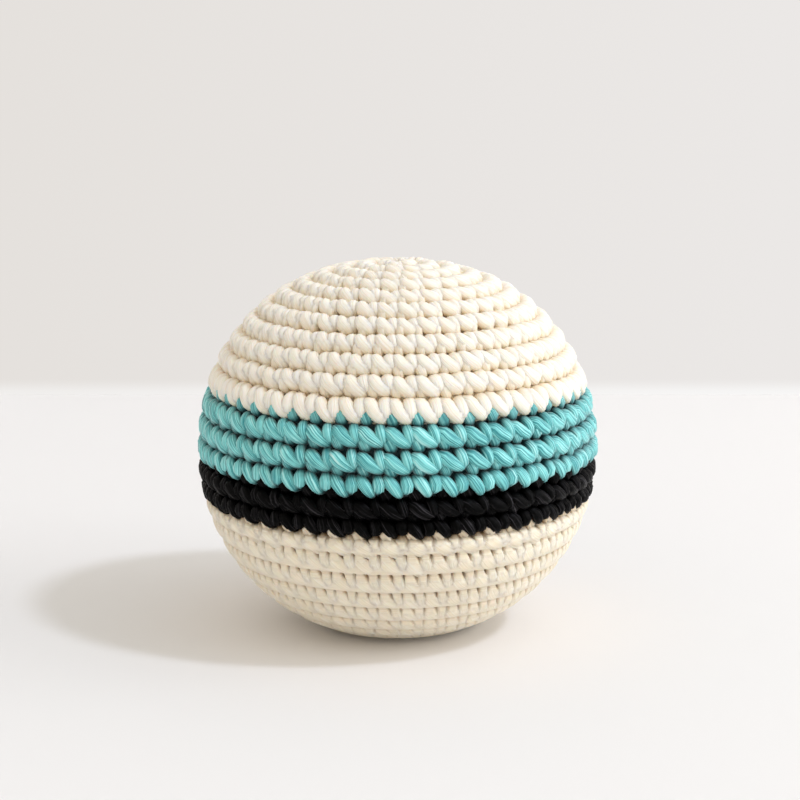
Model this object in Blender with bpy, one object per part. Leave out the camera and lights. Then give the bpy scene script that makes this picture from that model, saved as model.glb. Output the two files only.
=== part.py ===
"""A crocheted footbag: a ball of cotton stitches in four coloured sections, round a sewn cloth liner
that holds dried chickpeas.

The ball stands on the flat that its own weight presses into it. The origin is the centre of that flat
face, +Z is up, and every length is in metres.
"""

import math

import bmesh
import bpy
from mathutils import Vector

# The ball, measured over the crests of its stitches. Its two poles are pressed in a little, and the
# flat that it stands on cuts off the rest.
BALL_RADIUS = 0.0300
CROWN_PRESS = 0.0020
BASE_PRESS = 0.0012
FLAT_DEPTH = 0.0014

# How closely the pressing keeps to the poles.
PRESS_POWER = 4

# The crocheted fabric, which is squeezed thinner where the ball stands on it.
FABRIC_THICKNESS = 0.0036
BASE_THICKNESS = 0.0026
GROOVE_DEPTH = 0.0007

# Rounds of stitches in each yarn, from the top down. The aqua starts a little above the widest level,
# measured along the fabric. The crown and the base share out what the two bands leave.
CROWN_ROUND_COUNT = 11
AQUA_ROUND_COUNT = 3
BLACK_ROUND_COUNT = 2
BASE_ROUND_COUNT = 11
AQUA_RISE = 0.0098
AQUA_ROUND_HEIGHT = 0.0036
BLACK_ROUND_HEIGHT = 0.0031

# The cloth liner, sewn round its widest level from two cups.
LINER_THICKNESS = 0.0005
SEAM_THREAD_DIAMETER = 0.0006
SEAM_REACH = 0.0009
SEAM_STITCH_COUNT = 36

# The filling: so many chickpeas out of a close packing that reaches the liner all round. The share is
# how far the packing's outermost centres lie from its middle, in steps from one pea to the next, and
# the peas are as large as the liner then lets them be.
PEA_COUNT = 44
PACKING_REACH_SHARE = 2.08

# What touches on the real thing keeps this gap, and corners closer than the second one are merged.
TOUCH_GAP = 0.0003
MERGE_DISTANCE = 0.000001

# Counts that set how smooth the shapes are.
TURN_COUNT = 36
MERIDIAN_STEP_COUNT = 720
CUP_STEP_COUNT = 9
THREAD_BEVEL_COUNT = 1
PEA_SUBDIVISION_COUNT = 2
HALVING_COUNT = 40

# Where the points of one round lie along its height: the groove, the shoulders and the crest.
ROUND_SHARES = (0.0, 0.2, 0.5, 0.8)

QUARTER_TURN = math.pi / 2
SHARP_ANGLE = math.radians(50)

# Colours are linear red, green and blue.
CREAM = (0.80, 0.70, 0.55, 1.0)
AQUA = (0.15, 0.62, 0.60, 1.0)
BLACK = (0.006, 0.005, 0.006, 1.0)
MUSLIN = (0.70, 0.64, 0.52, 1.0)
THREAD_WHITE = (0.80, 0.78, 0.72, 1.0)
CHICKPEA = (0.62, 0.42, 0.20, 1.0)

# From the ball's widest level down to the face that it stands on.
BASE_HEIGHT = BALL_RADIUS - BASE_PRESS - FLAT_DEPTH


def clear_scene():
    """Starts from an empty scene."""
    for item in list(bpy.data.objects):
        bpy.data.objects.remove(item, do_unlink=True)


def material(name, colour, roughness):
    """A plain finish for one yarn, cloth or seed."""
    made = bpy.data.materials.new(name)
    made.use_nodes = True
    shader = made.node_tree.nodes["Principled BSDF"]
    shader.inputs["Base Color"].default_value = colour
    shader.inputs["Roughness"].default_value = roughness
    shader.inputs["Metallic"].default_value = 0.0
    return made


class Shell:
    """A ball of one radius about the centre, with its poles pressed in and its underside cut flat.

    A point on it is found by its latitude, which is 90 degrees at the crown and -90 at the base.
    floor is the depth of the flat below the centre.
    """

    def __init__(self, radius, floor):
        self.radius = radius
        self.floor = floor

    def round_height(self, latitude):
        """Height above the centre before the flat is cut: a sphere's, less the pressing."""
        rise = math.sin(latitude)
        press = CROWN_PRESS if rise > 0 else BASE_PRESS
        return rise * (self.radius - press * rise**PRESS_POWER)

    def point(self, latitude):
        """Distance from the axis, and height above the face that the ball stands on."""
        height = max(self.round_height(latitude), -self.floor)
        return Vector((max(self.radius * math.cos(latitude), 0.0), BASE_HEIGHT + height))

    def inward(self, latitude):
        """The unit direction that points into the ball from a latitude."""
        step = math.pi / MERIDIAN_STEP_COUNT
        above = self.point(min(latitude + step, QUARTER_TURN))
        below = self.point(max(latitude - step, -QUARTER_TURN))
        along = (above - below).normalized()
        return Vector((-along.y, along.x))

    def shrunk(self, by):
        """The same shell, smaller by one distance all over."""
        return Shell(self.radius - by, self.floor - by)

    def flat_edge(self):
        """The latitude of the flat's edge, found by halving the stretch that holds it."""
        low = -QUARTER_TURN
        high = 0.0
        for _ in range(HALVING_COUNT):
            middle = (low + high) / 2
            if self.round_height(middle) < -self.floor:
                low = middle
            else:
                high = middle
        return high


OUTSIDE = Shell(BALL_RADIUS, BASE_HEIGHT)
CAVITY = Shell(BALL_RADIUS - FABRIC_THICKNESS, BASE_HEIGHT - BASE_THICKNESS)
LINER_OUTSIDE = CAVITY.shrunk(TOUCH_GAP)
LINER_INSIDE = LINER_OUTSIDE.shrunk(LINER_THICKNESS)


def meridian_lengths(shell):
    """Latitudes from the crown to the base, and the length of fabric from the crown to each."""
    latitudes = [QUARTER_TURN - math.pi * i / MERIDIAN_STEP_COUNT for i in range(MERIDIAN_STEP_COUNT + 1)]
    lengths = [0.0]
    for upper, lower in zip(latitudes, latitudes[1:]):
        lengths.append(lengths[-1] + (shell.point(upper) - shell.point(lower)).length)
    return latitudes, lengths


LATITUDES, LENGTHS = meridian_lengths(OUTSIDE)


def latitude_at(length):
    """The latitude at one length of fabric from the crown."""
    for i in range(MERIDIAN_STEP_COUNT):
        if LENGTHS[i + 1] >= length:
            share = (length - LENGTHS[i]) / (LENGTHS[i + 1] - LENGTHS[i])
            return LATITUDES[i] + share * (LATITUDES[i + 1] - LATITUDES[i])
    return LATITUDES[-1]


def ribbed_outline(start, end, rounds):
    """The outside of one section: each round of stitches stands out between two grooves, until the
    flat cuts the rounds off."""
    edge = OUTSIDE.flat_edge()
    height = (end - start) / rounds
    levels = [start + (i + share) * height for i in range(rounds) for share in ROUND_SHARES] + [end]
    shares = list(ROUND_SHARES) * rounds + [ROUND_SHARES[0]]
    points = []
    for level, share in zip(levels, shares):
        latitude = latitude_at(level)
        if latitude <= edge:
            return points + [OUTSIDE.point(edge)]
        groove = GROOVE_DEPTH * (1 - math.sin(math.pi * share))
        points.append(OUTSIDE.point(latitude) + groove * OUTSIDE.inward(latitude))
    return points


def plain_arc(shell, first, last):
    """Points on a shell from one latitude to another, ends included."""
    steps = max(2, round(CUP_STEP_COUNT * abs(first - last) / QUARTER_TURN))
    return [shell.point(first + (last - first) * i / steps) for i in range(steps + 1)]


def on_axis(point):
    """The point of the turning axis level with a point of an outline."""
    return Vector((0.0, point.y))


def link(name, data):
    """Puts a mesh or a curve into the scene as one named piece."""
    made = bpy.data.objects.new(name, data)
    bpy.context.scene.collection.objects.link(made)
    return made


def turned_solid(name, outline, finish):
    """A solid turned about the ball's axis from an outline. An outline that starts and ends on the axis
    is closed by the turning, and any other is closed into a ring."""
    shape = bmesh.new()
    corners = [shape.verts.new((point.x, 0.0, point.y)) for point in outline]
    edges = [shape.edges.new(pair) for pair in zip(corners, corners[1:])]
    if max(outline[0].x, outline[-1].x) > MERGE_DISTANCE:
        edges.append(shape.edges.new((corners[-1], corners[0])))
    bmesh.ops.spin(
        shape,
        geom=corners + edges,
        cent=(0.0, 0.0, 0.0),
        axis=(0.0, 0.0, 1.0),
        angle=2 * math.pi,
        steps=TURN_COUNT,
        use_merge=True,
    )
    bmesh.ops.remove_doubles(shape, verts=shape.verts, dist=MERGE_DISTANCE)
    bmesh.ops.recalc_face_normals(shape, faces=shape.faces)
    mesh = bpy.data.meshes.new(name)
    shape.to_mesh(mesh)
    shape.free()
    mesh.shade_smooth()
    mesh.set_sharp_from_angle(angle=SHARP_ANGLE)
    mesh.materials.append(finish)
    return link(name, mesh)


def section(name, start, end, rounds, finish):
    """One colour of the cover: a ribbed outside, a plain inside, and a cut face towards each neighbour.
    start and end are lengths of fabric from the crown."""
    half_gap = TOUCH_GAP / 2
    gap_angle = half_gap / CAVITY.radius
    at_crown = start <= 0
    at_base = end >= LENGTHS[-1]
    upper = QUARTER_TURN if at_crown else latitude_at(start) - gap_angle
    lower = -QUARTER_TURN if at_base else latitude_at(end) + gap_angle
    first = start if at_crown else start + half_gap
    last = end if at_base else end - half_gap
    outside = ribbed_outline(first, last, rounds)
    inside = plain_arc(CAVITY, lower, upper)
    if at_crown:
        outside[0] = on_axis(outside[0])
        inside[-1] = on_axis(inside[-1])
    if at_base:
        outside.append(on_axis(outside[-1]))
        inside[0] = on_axis(inside[0])
        return turned_solid(name, inside + outside, finish)
    return turned_solid(name, outside + inside, finish)


def cover():
    """The crocheted cover: cream crown, aqua and black bands, cream base."""
    cream = material("cream_cotton_yarn", CREAM, 0.85)
    aqua = material("aqua_cotton_yarn", AQUA, 0.75)
    black = material("black_cotton_yarn", BLACK, 0.80)
    widest = LENGTHS[MERIDIAN_STEP_COUNT // 2]
    crown_end = widest - AQUA_RISE
    aqua_end = crown_end + AQUA_ROUND_COUNT * AQUA_ROUND_HEIGHT
    black_end = aqua_end + BLACK_ROUND_COUNT * BLACK_ROUND_HEIGHT
    section("crown_cream_rounds", 0.0, crown_end, CROWN_ROUND_COUNT, cream)
    section("band_aqua_rounds", crown_end, aqua_end, AQUA_ROUND_COUNT, aqua)
    section("band_black_rounds", aqua_end, black_end, BLACK_ROUND_COUNT, black)
    section("base_cream_rounds", black_end, LENGTHS[-1], BASE_ROUND_COUNT, cream)
    print(f"fabric from the crown: {crown_end:.5f}, {aqua_end:.5f}, {black_end:.5f}, {LENGTHS[-1]:.5f}")


def liner_cup(name, pole, finish):
    """One cup of the liner. pole is 1 for the upper cup and -1 for the lower one."""
    edge = pole * TOUCH_GAP / 2 / LINER_INSIDE.radius
    outside = plain_arc(LINER_OUTSIDE, pole * QUARTER_TURN, edge)
    inside = plain_arc(LINER_INSIDE, edge, pole * QUARTER_TURN)
    outside[0] = on_axis(outside[0])
    inside[-1] = on_axis(inside[-1])
    return turned_solid(name, outside + inside, finish)


def seam_thread(finish):
    """The slanting stitches that join the two cups, on the inside of the liner."""
    thread_radius = SEAM_THREAD_DIAMETER / 2
    rise = SEAM_REACH - thread_radius
    wall = LINER_INSIDE.point(math.asin(SEAM_REACH / LINER_INSIDE.radius)).x
    reach = wall * math.cos(math.pi / TURN_COUNT) - TOUCH_GAP - thread_radius
    curve = bpy.data.curves.new("liner_seam_thread", "CURVE")
    curve.dimensions = "3D"
    line = curve.splines.new("POLY")
    line.points.add(2 * SEAM_STITCH_COUNT - 1)
    for i, place in enumerate(line.points):
        angle = math.pi * i / SEAM_STITCH_COUNT
        height = BASE_HEIGHT + (rise if i % 2 else -rise)
        place.co = (reach * math.cos(angle), reach * math.sin(angle), height, 1.0)
    line.use_cyclic_u = True
    curve.bevel_depth = thread_radius
    curve.bevel_resolution = THREAD_BEVEL_COUNT
    curve.materials.append(finish)
    return link("liner_seam_thread", curve)


def liner():
    """The sewn cloth pouch that keeps the filling in."""
    muslin = material("cotton_muslin", MUSLIN, 0.9)
    thread = material("cotton_sewing_thread", THREAD_WHITE, 0.7)
    liner_cup("liner_upper_cup", 1, muslin)
    liner_cup("liner_lower_cup", -1, muslin)
    seam_thread(thread)


def filling_reach():
    """How far the filling may reach from the ball's centre, so that it can tumble in the liner."""
    beside_seam = LINER_INSIDE.radius - TOUCH_GAP - SEAM_THREAD_DIAMETER
    under_crown = LINER_INSIDE.radius - CROWN_PRESS
    return min(beside_seam - TOUCH_GAP, under_crown, LINER_INSIDE.floor) - TOUCH_GAP


def pea_pitch():
    """The step from one pea's centre to the next, so that the packing's outermost peas just clear the
    liner: the reach is so many steps and half a pea."""
    return (filling_reach() + TOUCH_GAP / 2) / (PACKING_REACH_SHARE + 1 / 2)


def pea_places(pitch):
    """Centres of the chickpeas from the ball's centre. Layers of a close packing are filled upwards
    from the lowest pea, until the count is used up."""
    row_pitch = pitch * math.sqrt(3) / 2
    layer_pitch = pitch * math.sqrt(2 / 3)
    layer_shift = pitch / math.sqrt(3)
    reach = pitch * PACKING_REACH_SHARE
    layers = math.floor(2 * reach / layer_pitch) + 1
    across = math.ceil(reach / row_pitch) + 1
    places = []
    for layer in range(layers):
        shift = (layer % 3) * layer_shift
        for row in range(-across, across + 1):
            for column in range(-2 * across, 2 * across + 1):
                along = (column + row / 2) * pitch
                place = Vector((along, row * row_pitch + shift, layer * layer_pitch - reach))
                if place.length <= reach + MERGE_DISTANCE:
                    places.append(place)
    return places[:PEA_COUNT]


def filling():
    """The chickpeas, settled in the lower part of the liner. They hang on one empty at the ball's
    centre, about which the whole filling tumbles."""
    finish = material("dried_chickpea", CHICKPEA, 0.55)
    pitch = pea_pitch()
    diameter = pitch - TOUCH_GAP
    shape = bmesh.new()
    bmesh.ops.create_icosphere(shape, subdivisions=PEA_SUBDIVISION_COUNT, radius=diameter / 2)
    mesh = bpy.data.meshes.new("chickpea")
    shape.to_mesh(mesh)
    shape.free()
    mesh.shade_smooth()
    mesh.materials.append(finish)
    centre = link("filling_centre", None)
    centre.location = (0.0, 0.0, BASE_HEIGHT)
    places = pea_places(pitch)
    for number, place in enumerate(places, start=1):
        pea = link(f"chickpea_{number:02d}", mesh)
        pea.parent = centre
        pea.location = place
    print(f"{len(places)} chickpeas of {diameter:.5f}, the highest {places[-1].z:.5f} above the centre")


def main():
    clear_scene()
    cover()
    liner()
    filling()


main()
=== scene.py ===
# %% [markdown]
# # A crocheted footbag
#
# A footbag is a small ball that players keep off the ground with their feet. This one is crocheted in
# cotton yarn: a cream crown, an aqua band, a black band and a cream base, over a sewn cloth liner that
# holds dried chickpeas. The measured model of it is already packed as a frame of named nodes. This
# script dresses that frame: every stitch is made as real yarn, and everything gets its material.

# %% Load the frame
import math

import bpy
import numpy as np
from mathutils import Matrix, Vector


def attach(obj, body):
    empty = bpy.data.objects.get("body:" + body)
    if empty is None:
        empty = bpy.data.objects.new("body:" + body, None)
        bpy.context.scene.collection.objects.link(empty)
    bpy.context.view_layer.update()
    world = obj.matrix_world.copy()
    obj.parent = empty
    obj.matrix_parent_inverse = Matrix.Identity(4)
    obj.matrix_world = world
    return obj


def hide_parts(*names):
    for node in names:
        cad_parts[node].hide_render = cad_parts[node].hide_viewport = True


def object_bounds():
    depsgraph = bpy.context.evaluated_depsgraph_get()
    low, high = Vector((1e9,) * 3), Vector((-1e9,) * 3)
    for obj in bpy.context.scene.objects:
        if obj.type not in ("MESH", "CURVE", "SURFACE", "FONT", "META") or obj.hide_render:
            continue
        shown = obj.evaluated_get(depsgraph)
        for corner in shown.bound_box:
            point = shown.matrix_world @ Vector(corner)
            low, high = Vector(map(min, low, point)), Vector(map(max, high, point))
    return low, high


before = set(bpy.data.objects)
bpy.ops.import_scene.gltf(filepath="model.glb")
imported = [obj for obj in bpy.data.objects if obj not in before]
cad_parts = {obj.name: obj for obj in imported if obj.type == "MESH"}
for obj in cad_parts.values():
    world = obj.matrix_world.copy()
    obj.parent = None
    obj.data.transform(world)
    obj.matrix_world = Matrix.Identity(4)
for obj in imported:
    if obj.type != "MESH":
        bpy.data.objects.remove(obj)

CAD_LOW, CAD_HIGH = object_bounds()
print("CAD box:", [round(v * 1000, 2) for v in CAD_LOW], [round(v * 1000, 2) for v in CAD_HIGH], "mm")

# %% [markdown]
# ## The surface that the stitches lie on
#
# Crochet is a fabric, so the natural way to place a stitch is by three fabric measures: how far down the
# ball it lies along the cloth, how far round, and how deep under the crests. One outline of the ball,
# pressed in a little at its poles and cut flat where it stands, turns those measures into a place in
# space. The outline could be drawn as a curve object and spun, but a table of numbers is enough, and any
# point of the fabric can then be read from it.

# %% Measures of the ball, in metres
MM = 0.001
BALL_RADIUS = (CAD_HIGH.x - CAD_LOW.x) / 2
CROWN_PRESS = 2.0 * MM
BASE_PRESS = 1.2 * MM
FLAT_DEPTH = 1.4 * MM
PRESS_POWER = 4
CENTRE_HEIGHT = BALL_RADIUS - BASE_PRESS - FLAT_DEPTH

# Fabric lengths. The aqua starts this far above the ball's widest level, the crown's last round is looser
# and taller than its others, and the base's first is shorter, as the black tips hang over it.
AQUA_RISE = 9.3 * MM
CROWN_LAST_HEIGHT = 4.1 * MM
AQUA_ROUND_HEIGHT = 3.57 * MM
BLACK_ROUND_HEIGHT = 3.1 * MM
BASE_FIRST_HEIGHT = 2.3 * MM

# How many rounds and stitches there are. The cream rounds grow from the ring at a pole.
CREAM_ROUNDS, AQUA_ROUNDS, BLACK_ROUNDS = 11, 3, 2
STITCHES_ADDED = 6
STITCHES_AT_MOST = 48

# %% The outline of the ball
OUTLINE_STEPS = 3600
NORMAL_BLUR = 1.2 * MM
BEYOND_POLE = 3.0 * MM


def outline_table():
    """One half outline of the ball, from the crown to the base, with a little more beyond each pole.

    A latitude t gives the radius R cos t and the height sin t (R - press sin^4 t), and no height is
    lower than the flat. Returns the fabric length from the crown, the radius, the height above the
    floor, and the two parts of the outward direction, which is blurred so that yarn bends softly
    round the edge of the flat. Beyond a pole the outline comes down on the far side, where the radius
    counts as negative, so that a stitch may reach across the pole.
    """
    t = np.linspace(math.pi / 2, -math.pi / 2, OUTLINE_STEPS + 1)
    rise = np.sin(t)
    press = np.where(rise > 0, CROWN_PRESS, BASE_PRESS)
    radius = BALL_RADIUS * np.cos(t)
    height = np.maximum(rise * (BALL_RADIUS - press * rise**PRESS_POWER) + CENTRE_HEIGHT, 0.0)
    length = np.concatenate(([0.0], np.cumsum(np.hypot(np.diff(radius), np.diff(height)))))
    beyond = int(BEYOND_POLE / (length[-1] / OUTLINE_STEPS))
    length, radius = (np.pad(part, beyond, mode="reflect", reflect_type="odd")
                      for part in (length, radius))
    height = np.pad(height, beyond, mode="reflect")
    out_r, out_z = -np.gradient(height, length), np.gradient(radius, length)
    reach = int(NORMAL_BLUR / BEYOND_POLE * beyond)
    kernel = np.ones(2 * reach + 1) / (2 * reach + 1)
    out_r, out_z = (np.convolve(np.pad(part, reach, mode="edge"), kernel, "valid")
                    for part in (out_r, out_z))
    size = np.hypot(out_r, out_z)
    return length, radius, height, out_r / size, out_z / size


OUTLINE = outline_table()
FABRIC_LENGTH = OUTLINE[0][-1] + OUTLINE[0][0]
print(f"the fabric measures {FABRIC_LENGTH / MM:.2f} mm from the crown to the base")

# %% From fabric measures to a place in space
def fabric_point(down, turn, depth):
    """The place of fabric measures: down is the length from the crown, turn the angle round the ball
    from the front, and depth how far under the crests. A place is the outline's point at that length,
    moved inwards by the depth against the outward direction, and turned about the ball's axis.
    """
    radius, height, out_r, out_z = (np.interp(down, OUTLINE[0], part) for part in OUTLINE[1:])
    radius = radius - out_r * depth
    height = np.maximum(height - out_z * depth, 0.0)
    return np.stack((radius * np.sin(turn), -radius * np.cos(turn), height), axis=-1)


# %% [markdown]
# ## One stitch
#
# Seen from outside, a single crochet stitch is a V: a long left leg that arches down to the tip, and a
# short right leg beside it. The loop at the top of a stitch peeps out as a small nub under the left leg
# of the stitch above it. A flat bump pattern would show none of this at the ball's edge, so the yarn is
# followed as a path through one stitch: out at the upper left, down the left leg, in at the tip, up
# behind to the nub, in again, out at the top of the right leg, down it, and on to the next stitch.
#
# Each row of a table is one point of that path: its place across the stitch and up it, as shares of the
# stitch's width and height, the depth of the yarn's crest, the yarn's half width and half thickness
# there, and the direction that the yarn's outer side faces.

# %% The yarn's path through a band stitch
# across, up, depth mm, half width mm, half thickness mm, and the facing: across, up, outwards
LEFT_LEG = [
    (-0.07, 0.48, 2.30, 0.45, 0.45, -0.8, 0.3, -0.3),
    (-0.05, 0.60, 1.20, 0.64, 0.60, -0.8, 0.4, 0.3),
    (0.03, 0.66, 0.45, 0.84, 0.72, -0.4, 0.4, 0.8),
    (0.14, 0.62, 0.08, 1.00, 0.78, -0.1, 0.2, 1.0),
    (0.26, 0.52, 0.00, 1.07, 0.82, 0.0, 0.0, 1.0),
    (0.40, 0.40, 0.00, 1.06, 0.82, 0.0, 0.0, 1.0),
    (0.55, 0.31, 0.00, 0.98, 0.80, 0.0, 0.0, 1.0),
    (0.70, 0.23, 0.05, 0.88, 0.76, 0.1, -0.1, 1.0),
    (0.83, 0.17, 0.45, 0.72, 0.66, 0.4, -0.5, 0.8),
    (0.89, 0.14, 1.30, 0.54, 0.50, 0.6, -0.6, -0.1),
    (0.86, 0.12, 2.30, 0.45, 0.42, 0.3, -0.4, -0.9),
]
TO_NUB = [
    (0.55, 0.50, 2.70, 0.45, 0.42, 0.0, 0.0, -1.0),
    (0.18, 1.15, 2.70, 0.45, 0.42, -0.1, 0.2, -1.0),
]
NUB = [
    (0.00, 1.42, 2.30, 0.50, 0.48, -0.3, 0.7, -0.6),
    (0.02, 1.46, 1.40, 0.70, 0.62, -0.4, 0.8, 0.3),
    (0.11, 1.37, 0.66, 0.94, 0.76, -0.2, 0.3, 0.9),
    (0.20, 1.22, 0.34, 1.04, 0.80, 0.0, 0.0, 1.0),
    (0.27, 1.09, 0.38, 0.98, 0.76, 0.2, -0.4, 0.9),
    (0.31, 1.00, 1.05, 0.72, 0.60, 0.3, -0.9, 0.1),
    (0.38, 0.95, 2.40, 0.45, 0.42, 0.0, -0.3, -1.0),
]
RIGHT_LEG = [
    (0.62, 0.84, 2.40, 0.46, 0.44, -0.4, 0.5, -0.7),
    (0.69, 0.92, 1.40, 0.57, 0.56, -0.5, 0.7, 0.3),
    (0.76, 0.83, 0.52, 0.76, 0.70, -0.3, 0.4, 0.9),
    (0.81, 0.66, 0.08, 0.80, 0.74, 0.0, 0.0, 1.0),
    (0.85, 0.50, 0.00, 0.79, 0.74, 0.1, 0.0, 1.0),
    (0.90, 0.35, 0.18, 0.73, 0.68, 0.2, -0.3, 0.9),
    (0.94, 0.21, 0.95, 0.54, 0.52, 0.2, -1.0, 0.2),
    (0.95, 0.16, 2.10, 0.45, 0.42, 0.0, -0.4, -1.0),
]
TO_NEXT = [
    (0.95, 0.30, 2.70, 0.45, 0.42, 0.0, 0.0, -1.0),
]
BAND_STITCH = np.array(LEFT_LEG + TO_NUB + NUB + RIGHT_LEG + TO_NEXT)
print(f"a stitch's path has {len(BAND_STITCH)} points")

# %% The last stitches of a colour
# Where the yarn changes, the last round's stitches hang free over the next colour. Their left legs run
# down steeply, the tips stand further left, and the right legs spread.
EDGE_LEFT_LEG = [
    (-0.06, 0.62, 2.30, 0.45, 0.45, -0.8, 0.3, -0.3),
    (-0.02, 0.78, 1.20, 0.62, 0.58, -0.8, 0.5, 0.3),
    (0.07, 0.79, 0.50, 0.80, 0.70, -0.3, 0.6, 0.8),
    (0.16, 0.72, 0.12, 0.90, 0.76, 0.0, 0.2, 1.0),
    (0.25, 0.61, 0.00, 0.94, 0.80, 0.0, 0.0, 1.0),
    (0.34, 0.49, 0.00, 0.94, 0.80, 0.0, 0.0, 1.0),
    (0.42, 0.37, 0.00, 0.86, 0.76, 0.0, 0.0, 1.0),
    (0.49, 0.26, 0.15, 0.74, 0.70, 0.1, -0.3, 1.0),
    (0.54, 0.15, 0.75, 0.60, 0.56, 0.4, -0.7, 0.6),
    (0.56, 0.08, 1.60, 0.50, 0.46, 0.5, -0.8, -0.2),
    (0.58, 0.12, 2.40, 0.45, 0.42, 0.3, -0.4, -0.9),
]
EDGE_RIGHT_LEG = [
    (0.62, 0.90, 2.40, 0.46, 0.44, -0.4, 0.5, -0.7),
    (0.67, 0.91, 1.40, 0.60, 0.56, -0.5, 0.7, 0.3),
    (0.74, 0.82, 0.60, 0.76, 0.68, -0.3, 0.4, 0.9),
    (0.78, 0.71, 0.10, 0.94, 0.76, 0.0, 0.0, 1.0),
    (0.81, 0.58, 0.00, 1.00, 0.78, 0.1, 0.0, 1.0),
    (0.81, 0.46, 0.03, 0.98, 0.78, 0.1, -0.1, 1.0),
    (0.78, 0.37, 0.35, 0.78, 0.68, 0.0, -0.6, 0.8),
    (0.74, 0.27, 1.20, 0.58, 0.54, -0.2, -1.0, 0.1),
    (0.78, 0.22, 2.20, 0.45, 0.42, 0.0, -0.4, -1.0),
]
EDGE_STITCH = np.array(EDGE_LEFT_LEG + TO_NUB + NUB + EDGE_RIGHT_LEG + TO_NEXT)

# %% Fatter stitches for the crown and the base
# The cream yarn was crocheted looser in the crown: its legs are fat, like the halves of a heart, and the
# left one bends over most of the nub. In the base the fabric is stretched over the seeds and pressed,
# and the legs lie flush with each other. In the crown's last round both legs lean left as they come
# down to the tip. The base's nubs lie deep, but its first round's are slimmer instead. Below, column 0 is
# the place across, 1 the place up, 2 the depth, 3 the half width and 4 the half thickness.
LEFT_ROWS = slice(0, len(LEFT_LEG))
LOWER_LEFT_ROWS = slice(3, 10)
NUB_ROWS = slice(len(LEFT_LEG) + len(TO_NUB), len(LEFT_LEG) + len(TO_NUB) + len(NUB))
RIGHT_ROWS = slice(NUB_ROWS.stop, NUB_ROWS.stop + len(RIGHT_LEG))
CROWN_STITCH = BAND_STITCH.copy()
CROWN_STITCH[LEFT_ROWS, 0] -= (0.03, 0.03, 0.04, 0.05, 0.05, 0.05, 0.05, 0.04, 0.03, 0.03, 0.03)
CROWN_STITCH[LEFT_ROWS, 1] += (0.02, 0.05, 0.07, 0.06, 0.03, 0.00, -0.01, -0.02, -0.01, 0.00, 0.00)
CROWN_STITCH[LEFT_ROWS, 3] *= (1.00, 1.03, 1.06, 1.08, 1.09, 1.10, 1.12, 1.14, 1.18, 1.16, 1.00)
CROWN_STITCH[RIGHT_ROWS, 0] -= (0.04, 0.05, 0.06, 0.05, 0.04, 0.03, 0.03, 0.03)
CROWN_STITCH[RIGHT_ROWS, 3] *= (1.25, 1.32, 1.42, 1.44, 1.44, 1.42, 1.40, 1.25)
CROWN_STITCH[NUB_ROWS, 3] *= 0.98
CROWN_STITCH[:, 4] *= 1.06
CROWN_STITCH[NUB_ROWS, 2] -= (0.0, 0.1, 0.15, 0.1, 0.1, 0.1, 0.0)
CROWN_EDGE_STITCH = CROWN_STITCH.copy()
CROWN_EDGE_STITCH[LOWER_LEFT_ROWS, 0] -= (0.0, 0.01, 0.02, 0.04, 0.07, 0.10, 0.12)
CROWN_EDGE_STITCH[LOWER_LEFT_ROWS, 1] += (0.05, 0.05, 0.03, 0.01, 0.00, -0.02, -0.02)
CROWN_EDGE_STITCH[RIGHT_ROWS, 0] -= (0.0, 0.0, -0.01, -0.01, 0.02, 0.07, 0.11, 0.10)
CROWN_EDGE_STITCH[RIGHT_ROWS, 1] -= (0.0, 0.0, 0.0, 0.0, 0.02, 0.05, 0.05, 0.04)
BASE_STITCH = BAND_STITCH.copy()
BASE_STITCH[:, 3] *= 1.25
BASE_STITCH[:, 4] *= 1.10
BASE_FIRST_STITCH = BASE_STITCH.copy()
BASE_FIRST_STITCH[NUB_ROWS, 3] *= 0.75
BASE_STITCH[NUB_ROWS, 2] += 0.6

# %% A smooth curve through the points
CURVE_STEPS = 24
PATH_SAMPLES = 34
STITCH_WIDTH = 2 * math.pi * BALL_RADIUS / STITCHES_AT_MOST / MM
# Yarn this deep in mm is behind the fabric. Over the last stretch before it, the share of samples that
# yarn gets falls to the least share, and its unevenness to nothing, which is reached a little sooner.
HIDDEN_DEPTH = 2.6
STEADY_DEPTH = 2.3
HIDING_STRETCH = 1.2
LEAST_SHARE = 0.35


def smooth_stitch(stitch, height):
    """A stitch's path as a smooth curve, sampled evenly along its length.

    Between two points the curve is a cubic whose slope at each point is half the step from the point
    before to the point after. The list of points goes on into the next stitch, one width further.
    Hidden stretches behind the fabric count less, so that they take fewer samples.
    """
    count = len(stitch)
    step = np.zeros(stitch.shape[1])
    step[0] = 1.0
    before, after = np.roll(stitch, 1, axis=0), np.roll(stitch, -1, axis=0)
    after2 = np.roll(stitch, -2, axis=0)
    before[0] -= step
    after[-1] += step
    after2[-2:] += step
    t = np.linspace(0.0, 1.0, CURVE_STEPS, endpoint=False)[None, :, None]
    p0, p1, p2, p3 = (part[:, None, :] for part in (before, stitch, after, after2))
    dense = 0.5 * (2 * p1 + (p2 - p0) * t + (2 * p0 - 5 * p1 + 4 * p2 - p3) * t**2
                   + (3 * p1 - p0 - 3 * p2 + p3) * t**3)
    dense = dense.reshape(count * CURVE_STEPS, -1)
    closed = np.vstack((dense, dense[:1] + step))
    scale = np.array((STITCH_WIDTH, height, 1.0))
    paces = np.linalg.norm(np.diff(closed[:, :3] * scale, axis=0), axis=1)
    shown = np.clip((HIDDEN_DEPTH - dense[:, 2]) / HIDING_STRETCH, LEAST_SHARE, 1.0)
    along = np.concatenate(([0.0], np.cumsum(paces * shown)))
    wanted = np.linspace(0.0, along[-1], PATH_SAMPLES, endpoint=False)
    return np.stack([np.interp(wanted, along, closed[:, i]) for i in range(closed.shape[1])], axis=1)


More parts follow.
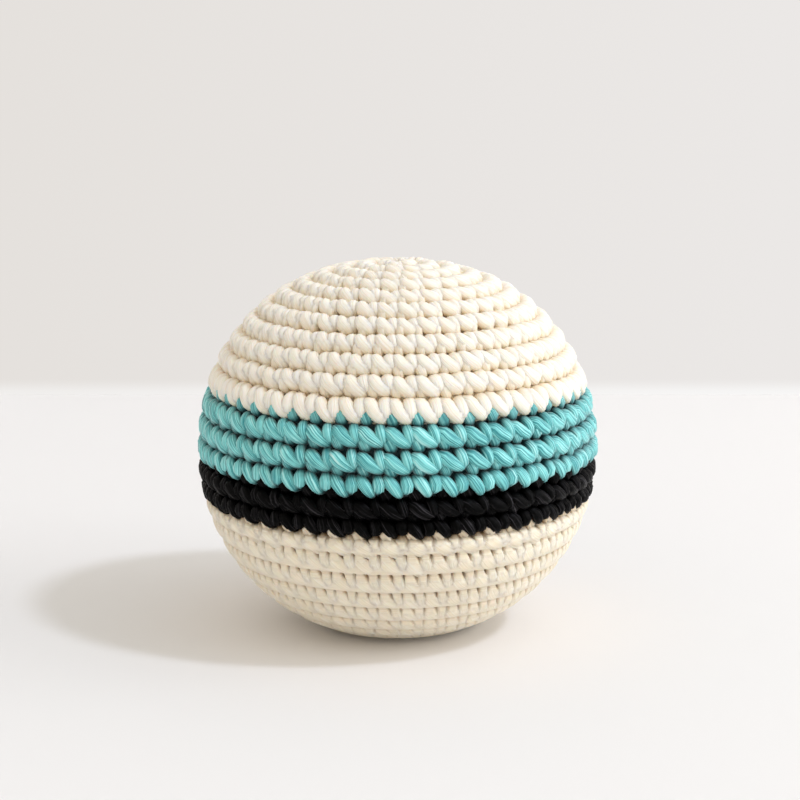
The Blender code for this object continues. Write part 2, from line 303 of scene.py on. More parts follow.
# %% [markdown]
# ## One round of stitches
#
# A round is a ring of stitches, so its yarn is the stitch's path repeated, each time a little wider,
# deeper or more tilted than the last, as hands make it. A curve object with a round bevel would draw
# a smooth hose. Here each cross-section is computed instead: an oval with twelve plies, which turn
# slowly along the yarn, as spun cotton shows them.
#
# The yarn is first worked out flat, in millimetres across, up and out of the fabric, and then laid on
# the ball. On the way, where the fabric is stretched tight, the crests are pressed flat, and each round
# is arched like a rope, with a furrow above and below it.

# %% Furrows and pressing
FURROW_POWER = 3
PRESS_DEPTH = 0.35
PRESS_SOFTNESS = 0.12
PRESS_FADE = 0.2


def arched(up, depth, furrow, hanging):
    """Depth after arching: a furrow is added where the share of the round's height comes near a whole
    number, as |2 share - 1| cubed. Below a round that hangs free over the next, it is shallower."""
    share = up - np.floor(up)
    return depth + furrow * np.abs(2 * share - 1)**FURROW_POWER * np.where(up < 0.5, hanging, 1.0)


def pressed(up, depth):
    """Depth after pressing: all is raised by the press depth p, and k ln(1 + e^((depth - p) / k)) never
    comes above the outline, so the crests are cut to one level. Above the round's top nothing is
    pressed, and over the last share below it the pressing fades in."""
    flat = PRESS_SOFTNESS * np.logaddexp(0.0, (depth - PRESS_DEPTH) / PRESS_SOFTNESS)
    return depth + (flat - depth) * np.clip((1 - up) / PRESS_FADE, 0.0, 1.0)


# %% The yarn round one ring
PLIES = 12
AROUND = 2 * PLIES
PLY_RELIEF = 0.05
PLIES_PER_STITCH = 4
# Spread between stitches: of their places in shares of a stitch, their thickness, and their depth in mm
PLACE_SPREAD = 0.03
THICKNESS_SPREAD = 0.035
DEPTH_SPREAD = 0.06
RNG = np.random.default_rng(20)


def uneven(count, amount):
    """Small differences between the stitches of one round, no larger than twice the amount."""
    return np.clip(RNG.normal(0.0, amount, count), -2 * amount, 2 * amount)[:, None]


def yarn_round(name, stitch, top, bottom, count, start, furrow, hanging, tight):
    """A closed tube of yarn that makes one round of stitches.

    The centre line is the stitch's path, stitch after stitch, half a thickness under its crest. A
    cross-section is an oval across the path, swollen at every second of its points, where a ply
    stands out. Across the fabric all of it narrows with the round, so a short round's stitches are
    slimmer but still touch.
    """
    height = (bottom - top) / MM
    path = smooth_stitch(stitch, height)
    shown = np.clip((STEADY_DEPTH - path[:, 2]) / HIDING_STRETCH, 0.0, 1.0)
    number = np.arange(count)[:, None]
    across = (number + path[:, 0] + uneven(count, PLACE_SPREAD) * shown) * STITCH_WIDTH
    up = (path[:, 1] + uneven(count, PLACE_SPREAD) * shown) * height
    swell = 1 + uneven(count, THICKNESS_SPREAD) * shown
    wide, thick = path[:, 3] * swell, path[:, 4] * swell
    out = -(path[:, 2] + uneven(count, DEPTH_SPREAD) * shown) - thick
    line = np.stack((across, up, out), axis=-1).reshape(-1, 3)
    lap = np.array((count * STITCH_WIDTH, 0.0, 0.0))
    loop = np.vstack((line[-1:] - lap, line, line[:1] + lap))
    ahead = loop[2:] - loop[:-2]
    ahead /= np.linalg.norm(ahead, axis=1, keepdims=True)
    facing = np.tile(path[:, 5:8], (count, 1))
    facing -= ahead * np.sum(facing * ahead, axis=1, keepdims=True)
    facing /= np.linalg.norm(facing, axis=1, keepdims=True)
    side = np.cross(facing, ahead)
    twist = np.arange(len(line)) * (PLIES_PER_STITCH / PLIES / PATH_SAMPLES)
    angle = 2 * math.pi * (np.arange(AROUND) / AROUND + twist[:, None])
    ply = 1 + PLY_RELIEF * np.cos(PLIES * 2 * math.pi * np.arange(AROUND) / AROUND)
    wide, thick = wide.reshape(-1, 1) * ply, thick.reshape(-1, 1) * ply
    rings = (line[:, None, :] + (wide * np.cos(angle))[..., None] * side[:, None, :]
             + (thick * np.sin(angle))[..., None] * facing[:, None, :])
    share, depth = rings[..., 1] / height, -rings[..., 2]
    if tight:
        depth = pressed(share, depth)
    depth = arched(share, depth, furrow, hanging)
    turn = 2 * math.pi * (rings[..., 0] / STITCH_WIDTH + start) / count
    place = fabric_point(bottom - rings[..., 1] * MM, turn, depth * MM)
    return tube_mesh(name, place, depth)


# %% A mesh from rings of points
# mm under the crests where the yarn's painted shade begins, and how many mm further it is full
SHADE_PAINT_FROM = 0.25
SHADE_PAINT_OVER = 1.0


def tube_mesh(name, rings, depth):
    """A closed tube through rings of points, the last ring joined to the first.

    Its UV map, yarn, is the length along the tube and the way round it, both in millimetres. Its
    attribute, sunk, goes from 0 on the crests to 1 deep in the fabric, and sets how much painted shade
    the yarn gets.
    """
    count, around = rings.shape[:2]
    i, j = np.meshgrid(np.arange(count), np.arange(around), indexing="ij")
    corners = [(i, j), (i, j + 1), (i + 1, j + 1), (i + 1, j)]
    faces = np.stack([a % count * around + b % around for a, b in corners], axis=-1).reshape(-1, 4)
    mesh = bpy.data.meshes.new(name)
    mesh.from_pydata(rings.reshape(-1, 3), [], faces)
    centre = rings.mean(axis=1)
    paces = np.linalg.norm(np.roll(centre, -1, axis=0) - centre, axis=1)
    along = np.concatenate(([0.0], np.cumsum(paces))) / MM
    girth = np.linalg.norm(np.roll(rings, -1, axis=1) - rings, axis=2).sum(axis=1).mean() / MM
    uv = np.stack([np.stack((along[a], b / around * girth), axis=-1) for a, b in corners], axis=2)
    layer = mesh.uv_layers.new(name="yarn")
    layer.data.foreach_set("uv", uv.reshape(-1).astype(np.float32))
    sunk = mesh.attributes.new("sunk", "FLOAT", "POINT")
    sunk.data.foreach_set("value", np.clip((depth.reshape(-1) - SHADE_PAINT_FROM) / SHADE_PAINT_OVER, 0.0, 1.0))
    mesh.shade_smooth()
    made = bpy.data.objects.new(name, mesh)
    bpy.context.scene.collection.objects.link(made)
    return made


# %% [markdown]
# ## The four sections
#
# The ball is worked from the base up, in rounds of at most 48 stitches: eleven rounds of cream that
# grow by six stitches each until there are enough, two of black, three of aqua, and eleven of cream
# that shrink again to the closing ring. Each section is a list of rounds, and its neighbours' rounds
# continue it, so the colours meet as they do on the real bag, with the tips of one colour's stitches
# over the other's.

# %% Where each section starts and ends
WIDEST = float(np.interp(CENTRE_HEIGHT, OUTLINE[2][::-1], OUTLINE[0][::-1]))
CROWN_END = WIDEST - AQUA_RISE
AQUA_END = CROWN_END + AQUA_ROUNDS * AQUA_ROUND_HEIGHT
BLACK_END = AQUA_END + BLACK_ROUNDS * BLACK_ROUND_HEIGHT
GROWING = tuple(min(STITCHES_ADDED * (k + 1), STITCHES_AT_MOST) for k in range(CREAM_ROUNDS))
LEVELS = {
    "crown": np.append(np.linspace(0.0, CROWN_END - CROWN_LAST_HEIGHT, CREAM_ROUNDS), CROWN_END),
    "aqua": np.linspace(CROWN_END, AQUA_END, AQUA_ROUNDS + 1),
    "black": np.linspace(AQUA_END, BLACK_END, BLACK_ROUNDS + 1),
    "base": np.append(BLACK_END,
                      np.linspace(BLACK_END + BASE_FIRST_HEIGHT, FABRIC_LENGTH, CREAM_ROUNDS)),
}
# stitches in each round, stitch, stitch of the round at the colour change, furrow in mm, pressed or not
SECTIONS = {
    "crown": (GROWING, CROWN_STITCH, CROWN_EDGE_STITCH, 0.5, False),
    "aqua": ((STITCHES_AT_MOST,) * AQUA_ROUNDS, BAND_STITCH, EDGE_STITCH, 0.3, False),
    "black": ((STITCHES_AT_MOST,) * BLACK_ROUNDS, BAND_STITCH, EDGE_STITCH, 0.4, False),
    "base": (GROWING[::-1], BASE_STITCH, BASE_FIRST_STITCH, 0.45, True),
}
for section, levels in LEVELS.items():
    print(f"{section}: from {levels[0] / MM:.2f} to {levels[-1] / MM:.2f} mm of fabric")

# %% Crochet the rounds
# Where the first stitch starts, how far each round starts beyond its neighbour, and how far a section's
# first round beyond the aqua, in stitches. A round that hangs free has this share of its lower furrow.
FRONT_START = -0.44
DRIFT = {"crown": 0.06, "aqua": 0.0, "black": -0.06, "base": -0.05}
FIRST_SHIFT = {"crown": 0.18, "aqua": 0.0, "black": -0.13, "base": -0.20}
HANGING = 0.3


def starting_place(section, k):
    """Where the stitches of a round begin, in stitches from the front."""
    away = len(SECTIONS[section][0]) - 1 - k if section == "crown" else k
    return FRONT_START + FIRST_SHIFT[section] + DRIFT[section] * away


rounds = {}
for section, (counts, stitch, last_stitch, furrow, tight) in SECTIONS.items():
    levels = LEVELS[section]
    rounds[section] = []
    for k, count in enumerate(counts):
        last = k == (0 if section == "base" else len(counts) - 1)
        piece = yarn_round(f"{section}_round_{k + 1:02d}", last_stitch if last else stitch, levels[k],
                           levels[k + 1], count, starting_place(section, k),
                           furrow, HANGING if last and not tight else 1.0, tight)
        rounds[section].append(piece)
    faces = sum(len(piece.data.polygons) for piece in rounds[section])
    print(f"{section}: {len(counts)} rounds, {sum(counts)} stitches, {faces} faces")

# %% [markdown]
# ## The fabric behind the stitches
#
# Between the legs of the stitches the eye falls on more yarn: the posts of the stitches and the turns
# behind them. They would be costly to follow one by one and nobody sees more of them than a dark gap,
# so each section gets one soft backing of its own yarn, just under the legs. Lying that deep, the
# backing takes the yarn's painted shade colour, which stands for the shade in the gaps.
#
# In the base the yarn is stretched and pressed so tight that the backing comes up nearly flush with the
# legs. What is left of each stitch there is a small pit at the top of its V, with a crease below it, and a
# finer crease where it meets its neighbour. Deep in the pits and creases the yarn is painted dark, as
# painted shade.

# %% Backings
# depth of the outer and the inner side in mm, how many faces round the ball, and how long each is
BACKING_TOP = {"crown": 1.7, "aqua": 1.9, "black": 1.9, "base": 0.05}
BACKING_BOTTOM = 3.55
BACKING_AROUND = {"crown": 144, "aqua": 144, "black": 144, "base": 768}
BACKING_PACE = {"crown": 0.45 * MM, "aqua": 0.45 * MM, "black": 0.45 * MM, "base": 0.27 * MM}
BORE = 0.3 * MM
# across and up as shares of a stitch, from and to, depth and half width in mm
CREASES = [((0.46, 0.98), (0.60, 0.66), 2.4, 0.19), ((0.99, 0.98), (0.97, 0.60), 2.0, 0.16)]
CREASE_FADE = 24 * MM
CREASE_LEAST = 0.2
CREASE_TAPER = 0.6
INNER_PACE = 4


def creased(down, turn, section):
    """Depth of the pits and creases: for each crease the depth times e^-(d / w)^2, where d is the
    distance from the line between its two ends and w its half width. A crease tapers towards its lower
    end, and all fade down the ball, where it is pressed against the floor."""
    levels = LEVELS[section]
    k = np.clip(np.searchsorted(levels, down, side="right") - 1, 0, len(levels) - 2)
    counts = np.array(SECTIONS[section][0])[k]
    starts = np.array([starting_place(section, i) for i in range(len(levels) - 1)])[k]
    height = (levels[k + 1] - levels[k]) / MM
    up = (levels[k + 1] - down) / MM
    across = turn * counts / (2 * math.pi) - starts
    total = SECTIONS[section][3] * np.abs(2 * up / height - 1)**FURROW_POWER
    fading = np.clip(1 - (down - levels[0]) / CREASE_FADE, CREASE_LEAST, 1.0)
    for (u0, v0), (u1, v1), deep, width in CREASES:
        near_x = (across - u0 + 0.5) % 1.0 * STITCH_WIDTH - 0.5 * STITCH_WIDTH
        near_y = up - v0 * height
        way_x, way_y = (u1 - u0) * STITCH_WIDTH, (v1 - v0) * height
        share = np.clip((near_x * way_x + near_y * way_y) / (way_x**2 + way_y**2), 0.0, 1.0)
        gap = np.hypot(near_x - share * way_x, near_y - share * way_y)
        total = total + fading * deep * (1 - CREASE_TAPER * share) * np.exp(-(gap / width)**2)
    return total


def backing(section):
    """A closed shell of revolution between two depths under the crests. Its outline runs down the
    outer depth and, in longer steps, back up the inner one. At a pole it leaves a bore thinner than the
    yarn over it."""
    levels = LEVELS[section]
    top, bottom = max(levels[0], BORE), min(levels[-1], FABRIC_LENGTH - BORE)
    down = np.linspace(top, bottom, int((bottom - top) / BACKING_PACE[section]))[None, :]
    turn = np.linspace(0.0, 2 * math.pi, BACKING_AROUND[section], endpoint=False)[:, None]
    outer = np.full((turn.size, down.size), BACKING_TOP[section])
    if section == "base":
        outer += creased(down, turn, section)
    inner = down[:, ::-INNER_PACE]
    depth = np.hstack((outer, np.full((turn.size, inner.size), BACKING_BOTTOM)))
    place = fabric_point(np.hstack((down, inner)), turn, depth * MM)
    return tube_mesh(f"{section}_backing", place, depth)


backings = {}
for section in LEVELS:
    backings[section] = backing(section)
    print("backing:", backings[section].name, len(backings[section].data.polygons), "faces")

# %% [markdown]
# ## Colours and nodes
#
# Colours are written as they look on a screen, as hex codes, but the renderer counts light linearly, so
# one function converts them. Materials here are all node trees, and one small function adds a node.

# %% Colours
def colour(code):
    """Linear colour of an sRGB hex code: each channel c becomes ((c + 0.055) / 1.055) to the power 2.4,
    or c / 12.92 where it is very dark."""
    parts = [int(code[i:i + 2], 16) / 255 for i in (1, 3, 5)]
    return [c / 12.92 if c <= 0.04045 else ((c + 0.055) / 1.055) ** 2.4 for c in parts] + [1.0]


# %% A node with its settings and links
def add(tree, kind, settings=None, **sockets):
    """Adds one node. settings sets its properties, and each socket takes a value or an output. A socket
    is given by its name, with _ for a space, or by _ and its number."""
    node = tree.nodes.new(kind)
    for key, value in (settings or {}).items():
        setattr(node, key, value)
    for key, value in sockets.items():
        socket = node.inputs[int(key[1:])] if key[1:].isdigit() else node.inputs[key.replace("_", " ")]
        if isinstance(value, bpy.types.NodeSocket):
            tree.links.new(value, socket)
        else:
            socket.default_value = value
    return node


SHEEN_ROUGHNESS = 0.5


def start_material(name, roughness, specular, sheen):
    """A material with its tree and its Principled shader, whose plain numbers are set on the sockets."""
    made = bpy.data.materials.new(name)
    made.use_nodes = True
    shader = made.node_tree.nodes["Principled BSDF"]
    shader.inputs["Roughness"].default_value = roughness
    shader.inputs["Specular IOR Level"].default_value = specular
    shader.inputs["Sheen Weight"].default_value = sheen
    shader.inputs["Sheen Roughness"].default_value = SHEEN_ROUGHNESS
    return made, made.node_tree, shader


# %% [markdown]
# ## Mercerised cotton yarn
#
# Cotton yarn is a bundle of fine fibres, spun into plies and plied together. Mercerising swells the
# fibres and gives them a soft, silky light along their length, without a hard highlight. The eye reads
# fine bright and dark lines that follow the yarn. They could be modelled as strands, but at this size
# they are about as wide as a pixel, so noise that is stretched along the yarn's own map paints them:
# painted shade in the dark lines and a painted glint on the brightest fibres. Yarn that lies deep in the
# fabric is painted deeper in colour, as painted shade for the little light that gets there through
# other yarn.

# %% Cotton yarn
# Strands, finer fibres and slow patches in mm, the share that strands and patches have in the tone, the
# tones of the shade, lit and glint colours, and how far light passes through cream yarn, red furthest
STRAND_WIDTH, STRAND_LENGTH = 0.30, 12.0
FIBRE_WIDTH, FIBRE_LENGTH = 0.12, 6.0      # drawn coarser than the real 0.02 mm, which wouldn't show
PATCH_LENGTH = 3.0
STRAND_SHARE, PATCH_SHARE = 0.3, 0.2
SHADE_AT, LIT_AT, GLINT_AT = 0.50, 0.68, 0.88
LIGHT_REACH, LIGHT_SPREAD = 1.2 * MM, (1.0, 0.65, 0.4)


def yarn_material(name, deep, shade, lit, glint, roughness, specular, sheen, relief, soft):
    """Long strands and finer fibres run along the yarn. The darkest lines between them take the painted
    shade colour shade, most of the yarn the colour lit, the highest fibres a painted glint, and sunken
    yarn the painted shade colour deep."""
    made, tree, shader = start_material(name, roughness, specular, sheen)
    place = add(tree, "ShaderNodeUVMap", {"uv_map": "yarn"}).outputs["UV"]
    noises = []
    for long, wide in ((STRAND_LENGTH, STRAND_WIDTH), (FIBRE_LENGTH, FIBRE_WIDTH)):
        stretched = add(tree, "ShaderNodeMapping", Vector=place, Scale=(1 / long, 1 / wide, 1)).outputs[0]
        noise = add(tree, "ShaderNodeTexNoise", Vector=stretched, Scale=1.0, Detail=1.0)
        noises.append(noise.outputs["Fac"])
    strands, fibres = noises
    spun = add(tree, "ShaderNodeMath", {"operation": "MULTIPLY_ADD"},
               _0=strands, _1=STRAND_SHARE, _2=fibres).outputs[0]
    patch = add(tree, "ShaderNodeTexNoise", Vector=place, Scale=1 / PATCH_LENGTH, Detail=1.0).outputs["Fac"]
    mixed = add(tree, "ShaderNodeMix", {"data_type": "FLOAT"}, _0=PATCH_SHARE, _2=spun, _3=patch).outputs[0]
    ramp = add(tree, "ShaderNodeValToRGB", Fac=mixed)
    stops = ramp.color_ramp.elements
    stops[0].position, stops[0].color = SHADE_AT, colour(shade)
    stops[1].position, stops[1].color = LIT_AT, colour(lit)
    top = stops.new(GLINT_AT)
    top.color = colour(glint)
    sunk = add(tree, "ShaderNodeAttribute", {"attribute_name": "sunk"}).outputs["Fac"]
    toned = add(tree, "ShaderNodeMix", {"data_type": "RGBA"},
                _0=sunk, _6=ramp.outputs[0], _7=colour(deep)).outputs[2]
    tree.links.new(toned, shader.inputs["Base Color"])
    bump = add(tree, "ShaderNodeBump", Height=spun, Strength=1.0, Distance=relief * MM).outputs["Normal"]
    tree.links.new(bump, shader.inputs["Normal"])
    shader.inputs["Subsurface Weight"].default_value = soft
    shader.inputs["Subsurface Radius"].default_value = LIGHT_SPREAD
    shader.inputs["Subsurface Scale"].default_value = LIGHT_REACH
    return made


# %% The four yarns
# Name, deep, shade, lit and glint colours, roughness, specular level, sheen, relief of the fibres in mm,
# and how much light passes through the yarn. Deep is painted shade for sunken yarn, and glint a painted
# highlight. The cream is made in two copies: the crown's is painted paler, for the light that falls on
# it from above, and the base's a little deeper and warmer, for the shade and the warm light bounced up
# from the floor, with a dark painted shade in its pits.
CROWN_CREAM_PAINTED_LIGHT = yarn_material("cream_cotton_yarn_painted_top_light", "#ecd8b8", "#f6ead8", "#fff7ea", "#fffbf4",
                            0.60, 0.30, 0.15, 0.10, 0.35)
BASE_CREAM_PAINTED_SHADE = yarn_material("cream_cotton_yarn_painted_warm_shade", "#9c7a50", "#f4e4c9", "#fff0d9", "#fff6e6",
                            0.60, 0.30, 0.15, 0.10, 0.35)
AQUA = yarn_material("aqua_cotton_yarn", "#00363c", "#2f9399", "#88e3e2", "#ccf9f7",
                     0.40, 0.45, 0.22, 0.10, 0.0)
BLACK = yarn_material("black_cotton_yarn", "#010101", "#010101", "#020202", "#4a484c",
                      0.38, 0.05, 0.0, 0.12, 0.0)
YARNS = {"crown": CROWN_CREAM_PAINTED_LIGHT, "aqua": AQUA, "black": BLACK, "base": BASE_CREAM_PAINTED_SHADE}
NODES = {"crown": "crown_cream_rounds", "aqua": "band_aqua_rounds", "black": "band_black_rounds",
         "base": "base_cream_rounds"}
print("yarns:", ", ".join(yarn.name for yarn in YARNS.values()))

# %% Dress the rounds
for section in SECTIONS:
    for piece in rounds[section] + [backings[section]]:
        piece.data.materials.append(YARNS[section])
        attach(piece, "bag")
    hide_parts(NODES[section])
    print(f"{NODES[section]}: {len(rounds[section])} rounds and a backing")

# %% [markdown]
# ## What is inside
#
# The liner, its seam and the filling can't be seen from outside, but they are there when the cover is
# taken off, so they keep their measured shapes and get materials too.
#
# Muslin is a plain weave: each thread goes over one and under the next. Two sets of waves multiplied
# with each other give such a board of raised and sunken places. A woven mesh would need a hundred
# thousand faces for the same. The seam is sewn with a twisted thread, whose plies are slanted lines.
# Dried chickpeas have a thin, dull, wrinkled skin in tones of tan, no two quite the same.

# %% Waves of a weave
def waves(tree, place, lengthwise, pitch_up, round_count):
    """Two sets of waves on a round piece: sin(2 pi z / pitch) and sin(n a), with a the angle round the
    axis. Their product is a weave. Where lengthwise is set they are added first, into slanted lines."""
    split = add(tree, "ShaderNodeSeparateXYZ", _0=place)
    angle = add(tree, "ShaderNodeMath", {"operation": "ARCTAN2"},
                _0=split.outputs["Y"], _1=split.outputs["X"]).outputs[0]
    rise = add(tree, "ShaderNodeMath", {"operation": "MULTIPLY"},
               _0=split.outputs["Z"], _1=2 * math.pi / pitch_up).outputs[0]
    if lengthwise:
        slant = add(tree, "ShaderNodeMath", {"operation": "MULTIPLY_ADD"},
                    _0=angle, _1=float(round_count), _2=rise).outputs[0]
        return add(tree, "ShaderNodeMath", {"operation": "SINE"}, _0=slant).outputs[0]
    turn = add(tree, "ShaderNodeMath", {"operation": "MULTIPLY"}, _0=angle, _1=float(round_count)).outputs[0]
    weft = add(tree, "ShaderNodeMath", {"operation": "SINE"}, _0=rise).outputs[0]
    warp = add(tree, "ShaderNodeMath", {"operation": "SINE"}, _0=turn).outputs[0]
    return add(tree, "ShaderNodeMath", {"operation": "MULTIPLY"}, _0=weft, _1=warp).outputs[0]


# %% Cloth and thread
WAVE_SHARE = 0.35
SLUB_PITCHES = 4


def thread_material(name, low, high, lengthwise, pitch_up, round_count, relief):
    """Cloth or thread: the waves, made uneven by slubs, set both its tone and its relief. The low colour is
    painted shade in the sunken places and grooves, the high colour the raised threads.
    """
    made, tree, shader = start_material(name, roughness=0.85, specular=0.2, sheen=0.3)
    place = add(tree, "ShaderNodeTexCoord").outputs["Object"]
    wave = waves(tree, place, lengthwise, pitch_up, round_count)
    slub = add(tree, "ShaderNodeTexNoise", Vector=place,
               Scale=1 / (SLUB_PITCHES * pitch_up), Detail=2.0).outputs["Fac"]
    uneven_wave = add(tree, "ShaderNodeMath", {"operation": "MULTIPLY_ADD"},
                      _0=wave, _1=WAVE_SHARE, _2=slub).outputs[0]
    tone = add(tree, "ShaderNodeMix", {"data_type": "RGBA"}, _0=uneven_wave, _6=colour(low), _7=colour(high))
    tree.links.new(tone.outputs[2], shader.inputs["Base Color"])
    bump = add(tree, "ShaderNodeBump", Height=uneven_wave, Strength=1.0, Distance=relief)
    tree.links.new(bump.outputs["Normal"], shader.inputs["Normal"])
    return made


THREAD_PITCH = 0.5 * MM     # drawn coarser than the real 0.35 mm, which would shimmer
WARP_THREADS = 300
MUSLIN_RELIEF = 0.15 * MM
PLY_PITCH = 0.35 * MM
PLY_LINES = 420
THREAD_RELIEF = 0.08 * MM
# In each, the first colour is painted shade in the sunken places of the weave or the ply grooves
MUSLIN = thread_material("cotton_muslin_plain_weave", "#cdbf9f", "#f3ead4", False,
                         THREAD_PITCH, WARP_THREADS, MUSLIN_RELIEF)
SEWING = thread_material("sewing_thread_twisted", "#d8d0bd", "#fbf6ea", True,
                         PLY_PITCH, PLY_LINES, THREAD_RELIEF)

# %% Chickpea skin
# how large a pea is, the mottling and its share in the tone, the tones of the tan and the pale colour,
# and the wrinkles' size, their relief, and how near to its ridge the folds get a dark painted shade
PEA_SIZE = 8 * MM
MOTTLE, MOTTLE_SHARE = 0.6 * MM, 0.5
TAN_AT, PALE_AT = 0.5, 1.0
WRINKLE, WRINKLE_RELIEF, WRINKLE_EDGE = 1.1 * MM, 1.2 * MM, 0.06


def chickpea_material():
    """Tan skin: slow noise makes each pea its own tone, fine noise mottles it, and ridged noise, the
    distance of noise from its mean, makes the wrinkles, whose folds are darkened with painted shade."""
    made, tree, shader = start_material("dried_chickpea_skin", roughness=0.62, specular=0.35, sheen=0.05)
    place = add(tree, "ShaderNodeTexCoord").outputs["Object"]
    own = add(tree, "ShaderNodeTexNoise", Vector=place, Scale=1 / PEA_SIZE, Detail=0.0).outputs["Fac"]
    mottle = add(tree, "ShaderNodeTexNoise", Vector=place, Scale=1 / MOTTLE, Detail=3.0).outputs["Fac"]
    tone = add(tree, "ShaderNodeMath", {"operation": "MULTIPLY_ADD"},
               _0=mottle, _1=MOTTLE_SHARE, _2=own).outputs[0]
    ramp = add(tree, "ShaderNodeValToRGB", Fac=tone)
    stops = ramp.color_ramp.elements
    stops[0].position, stops[0].color = TAN_AT, colour("#a87f4c")
    stops[1].position, stops[1].color = PALE_AT, colour("#e0c391")
    folds = add(tree, "ShaderNodeTexNoise", Vector=place, Scale=1 / WRINKLE, Detail=1.0).outputs["Fac"]
    centred = add(tree, "ShaderNodeMath", {"operation": "SUBTRACT"}, _0=folds, _1=0.5).outputs[0]
    ridge = add(tree, "ShaderNodeMath", {"operation": "ABSOLUTE"}, _0=centred).outputs[0]
    clear = add(tree, "ShaderNodeMapRange", Value=ridge, From_Min=0.0, From_Max=WRINKLE_EDGE).outputs[0]
    # the dark colour is painted shade in the wrinkles' folds
    skin = add(tree, "ShaderNodeMix", {"data_type": "RGBA"}, _0=clear, _6=colour("#8a6538"),
               _7=ramp.outputs[0]).outputs[2]
    tree.links.new(skin, shader.inputs["Base Color"])
    bump = add(tree, "ShaderNodeBump", Height=ridge, Strength=1.0, Distance=WRINKLE_RELIEF)
    tree.links.new(bump.outputs["Normal"], shader.inputs["Normal"])
    return made


# %% Dress the inner pieces
CHICKPEA = chickpea_material()
for node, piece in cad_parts.items():
    if node.startswith("chickpea"):
        piece.material_slots[0].material = CHICKPEA
    elif node == "liner_seam_thread":
        piece.material_slots[0].material = SEWING
    elif node.startswith("liner"):
        piece.material_slots[0].material = MUSLIN
print(sum(node.startswith("chickpea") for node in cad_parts), "chickpeas dressed")

# %% [markdown]
# ## Floor, light and camera
#
# The photograph was taken on a white table against a pale wall, with strong light from a window on the
# right and soft light from the rest of the room. A sun lamp makes the soft-edged shadow, a broad lamp
# low on the right stands for the window, and the world for the room. The wall is drawn in its own
# colour for the camera alone, so that it doesn't need lamps of its own.

# %% Floor and wall
# metres, then the height over which the wall fades into the floor, and half of the width that is seen
FLOOR_SIZE = 3.0
WALL_DISTANCE = 0.181
WALL_HEIGHT = 1.5
WALL_FOOT = 4.2 * MM
WALL_HALF_SEEN = 90 * MM


def one_sided(tree, front):
    """Shows the front of a sheet, and nothing of it from behind, so that the ball can be looked at from
    every side. Light still can't pass from the front."""
    behind = add(tree, "ShaderNodeNewGeometry").outputs["Backfacing"]
    clear = add(tree, "ShaderNodeBsdfTransparent").outputs[0]
    both = add(tree, "ShaderNodeMixShader", _0=behind, _1=front, _2=clear).outputs[0]
    tree.links.new(both, tree.nodes["Material Output"].inputs["Surface"])


def stage_sheet(name, corners, code):
    """A plain matt sheet that isn't part of the object. Returns its material's tree and its shader."""
    mesh = bpy.data.meshes.new(name)
    mesh.from_pydata(corners, [], [(0, 1, 2, 3)])
    made = bpy.data.objects.new(name, mesh)
    bpy.context.scene.collection.objects.link(made)
    material, tree, shader = start_material(name, roughness=0.9, specular=0.2, sheen=0.0)
    shader.inputs["Base Color"].default_value = colour(code)
    mesh.materials.append(material)
    return tree, shader


half = FLOOR_SIZE / 2
tree, shader = stage_sheet("floor", [(-half, -half, 0), (half, -half, 0), (half, WALL_DISTANCE, 0),
                                     (-half, WALL_DISTANCE, 0)], "#e9e9e9")
one_sided(tree, shader.outputs[0])

# The wall is painted a little brighter to the right, as painted light from the window on that side, and at
# its foot it fades into the floor.
tree, shader = stage_sheet("wall", [(-half, WALL_DISTANCE, 0), (half, WALL_DISTANCE, 0),
                                    (half, WALL_DISTANCE, WALL_HEIGHT), (-half, WALL_DISTANCE, WALL_HEIGHT)],
                           "#e9e5e1")
split = add(tree, "ShaderNodeSeparateXYZ", _0=add(tree, "ShaderNodeTexCoord").outputs["Object"])
rise = add(tree, "ShaderNodeMapRange", {"interpolation_type": "SMOOTHSTEP"}, Value=split.outputs["Z"],
           From_Min=0.0, From_Max=WALL_FOOT).outputs[0]
rightward_painted_light = add(tree, "ShaderNodeMapRange", Value=split.outputs["X"],
               From_Min=-WALL_HALF_SEEN, From_Max=WALL_HALF_SEEN).outputs[0]
# foot and paint are the floor-like foot and the wall's tone, both painted brighter to the right as painted
# light
foot, paint = (add(tree, "ShaderNodeMix", {"data_type": "RGBA"}, _0=rightward_painted_light,
                   _6=colour(left), _7=colour(right)).outputs[2]
               for left, right in (("#f1efed", "#f8f7f6"), ("#e5e1dd", "#ebe8e6")))
faded = add(tree, "ShaderNodeMix", {"data_type": "RGBA"}, _0=rise, _6=foot, _7=paint).outputs[2]
glow = add(tree, "ShaderNodeEmission", Color=faded, Strength=1.0).outputs[0]
seen = add(tree, "ShaderNodeLightPath").outputs["Is Camera Ray"]
one_sided(tree, add(tree, "ShaderNodeMixShader", _0=seen, _1=shader.outputs[0], _2=glow).outputs[0])
print(f"the wall stands {WALL_DISTANCE / MM:.0f} mm behind the ball's centre")

# %% Light
WORLD_TINT, WORLD_STRENGTH = (1.0, 0.95, 0.88, 1.0), 0.83
SUN_ANGLE = math.radians(6)
WINDOW_SIZE = (0.8, 0.5)
world = bpy.data.worlds.new("studio")
bpy.context.scene.world = world
world.use_nodes = True
world.node_tree.nodes["Background"].inputs["Color"].default_value = WORLD_TINT
world.node_tree.nodes["Background"].inputs["Strength"].default_value = WORLD_STRENGTH


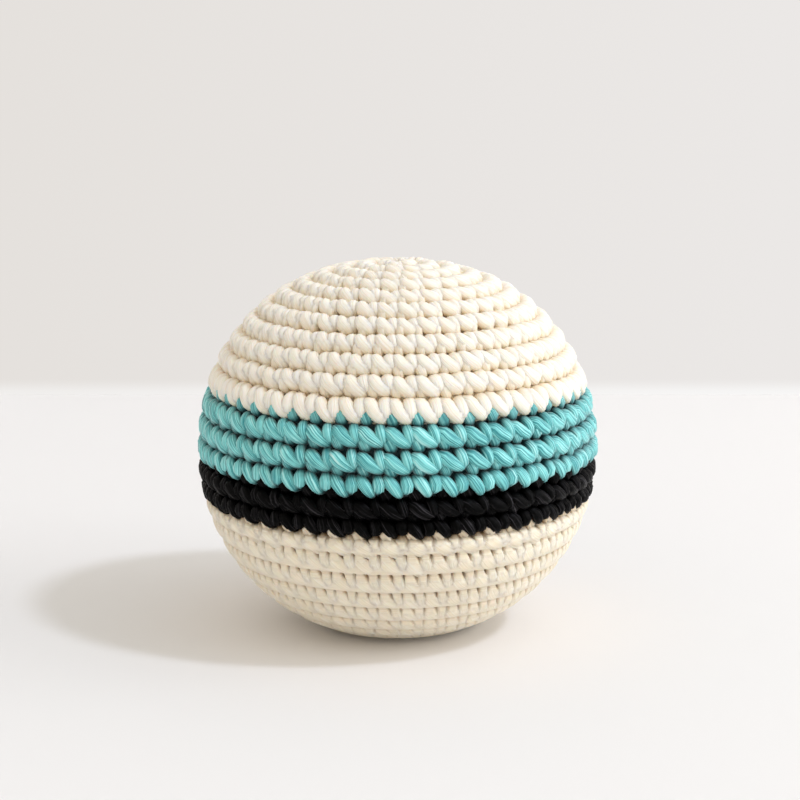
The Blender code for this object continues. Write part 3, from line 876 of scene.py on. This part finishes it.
def light_from(name, kind, azimuth, elevation, distance, energy, tint):
    """A lamp on a sphere round the ball, aimed at it. Azimuth 0 is the photograph's right-hand side,
    and 90 the viewer's side."""
    data = bpy.data.lights.new(name, kind)
    data.energy = energy
    data.color = tint
    made = bpy.data.objects.new(name, data)
    bpy.context.scene.collection.objects.link(made)
    a, e = math.radians(azimuth), math.radians(elevation)
    toward = Vector((math.cos(a) * math.cos(e), -math.sin(a) * math.cos(e), math.sin(e)))
    made.location = Vector((0, 0, CENTRE_HEIGHT)) + toward * distance
    made.rotation_mode = "QUATERNION"
    made.rotation_quaternion = toward.to_track_quat("Z", "Y")
    return data


key = light_from("key", "SUN", azimuth=22, elevation=51, distance=1.0, energy=0.97,
                 tint=(0.79, 0.855, 1.0))
key.angle = SUN_ANGLE
window = light_from("window", "AREA", azimuth=4, elevation=20, distance=0.8, energy=3.3,
                    tint=(0.95, 0.97, 1.0))
window.shape = "RECTANGLE"
window.size, window.size_y = WINDOW_SIZE
print(f"world {WORLD_STRENGTH}, sun {key.energy:.2f}, window {window.energy:.1f} W")

# %% Camera
VIEW_ELEVATION = math.radians(12.35)
VIEW_DISTANCE = 10 * BALL_RADIUS
FOCAL_PIXELS = 1990
IMAGE_PIXELS = 800
BALL_PIXEL = (397.5, 444.0)
SENSOR_WIDTH = 36.0
NEAREST, FURTHEST = 0.01, 10.0
camera = bpy.data.cameras.new("camera")
camera.sensor_width = SENSOR_WIDTH
camera.lens = SENSOR_WIDTH * FOCAL_PIXELS / IMAGE_PIXELS
view = bpy.data.objects.new("camera", camera)
bpy.context.scene.collection.objects.link(view)
bpy.context.scene.camera = view
ball = Vector((0.0, 0.0, CENTRE_HEIGHT))
back = Vector((0.0, -math.cos(VIEW_ELEVATION), math.sin(VIEW_ELEVATION)))
image_up = Vector((0.0, math.sin(VIEW_ELEVATION), math.cos(VIEW_ELEVATION)))
per_pixel = VIEW_DISTANCE / FOCAL_PIXELS
aim = (ball + image_up * ((BALL_PIXEL[1] - IMAGE_PIXELS / 2) * per_pixel)
       + Vector((1, 0, 0)) * ((IMAGE_PIXELS / 2 - BALL_PIXEL[0]) * per_pixel))
view.location = ball + back * VIEW_DISTANCE
view.rotation_mode = "QUATERNION"
view.rotation_quaternion = (view.location - aim).to_track_quat("Z", "Y")
camera.clip_start, camera.clip_end = NEAREST, FURTHEST
bpy.context.scene.view_settings.view_transform = "Standard"
print(f"camera {VIEW_DISTANCE / MM:.0f} mm from the ball, lens {camera.lens:.1f} mm")
